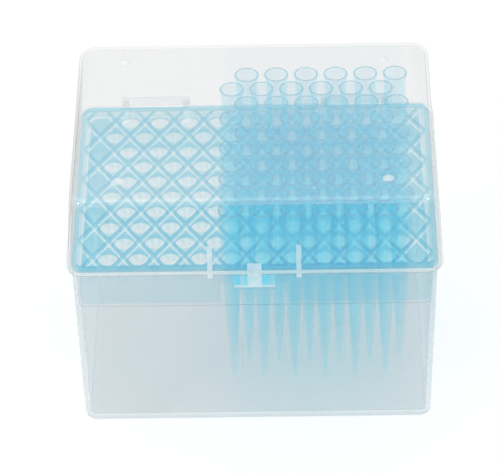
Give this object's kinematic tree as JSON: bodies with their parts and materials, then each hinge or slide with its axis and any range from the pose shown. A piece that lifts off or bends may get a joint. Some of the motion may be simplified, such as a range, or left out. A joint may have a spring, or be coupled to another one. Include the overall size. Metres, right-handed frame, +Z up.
{
  "type": "box of pipette tips",
  "caption": "Hinged laboratory box: hazy base, clear snap-shut lid and a blue rack whose staggered sockets hold long pipette tips on one side.",
  "frame": {"origin": "centre of the underside of the box body, on the surface it stands on", "axes": "+X along the long side, +Y from the latch towards the hinges, +Z up"},
  "size_m": [0.134, 0.1069, 0.1044],
  "materials": {
    "base_plastic": "hazy translucent moulded polypropylene",
    "lid_plastic": "clear glossy moulded polypropylene",
    "rack_plastic": "translucent blue moulded polypropylene",
    "tip_plastic": "thin translucent blue polypropylene"
  },
  "bodies": {
    "base": {"base": "base_plastic", "rack": "rack_plastic", "tips_row_01_left": "tip_plastic", "tips_row_01_middle": "tip_plastic", "tips_row_01_right": "tip_plastic", "tips_row_02_left": "tip_plastic", "tips_row_02_middle": "tip_plastic", "tips_row_02_right": "tip_plastic", "tips_row_03_left": "tip_plastic", "tips_row_03_middle": "tip_plastic", "tips_row_03_right": "tip_plastic", "tips_row_04_left": "tip_plastic", "tips_row_04_middle": "tip_plastic", "tips_row_04_right": "tip_plastic", "tips_row_05_left": "tip_plastic", "tips_row_05_middle": "tip_plastic", "tips_row_05_right": "tip_plastic", "tips_row_06_left": "tip_plastic", "tips_row_06_middle": "tip_plastic", "tips_row_06_right": "tip_plastic", "tips_row_07_left": "tip_plastic", "tips_row_07_middle": "tip_plastic", "tips_row_07_right": "tip_plastic", "tips_row_08_left": "tip_plastic", "tips_row_08_middle": "tip_plastic", "tips_row_08_right": "tip_plastic", "tips_row_09_left": "tip_plastic", "tips_row_09_middle": "tip_plastic", "tips_row_09_right": "tip_plastic", "tips_row_10_left": "tip_plastic", "tips_row_10_middle": "tip_plastic", "tips_row_10_right": "tip_plastic"},
    "lid": {"lid": "lid_plastic"}
  },
  "joints": [
    {"name": "lid_hinge", "type": "hinge", "parent": "base", "child": "lid", "pos_m": [0, 0.0529, 0.0723], "axis": [-1, 0, 0], "range_deg": [0, 110]}
  ]
}
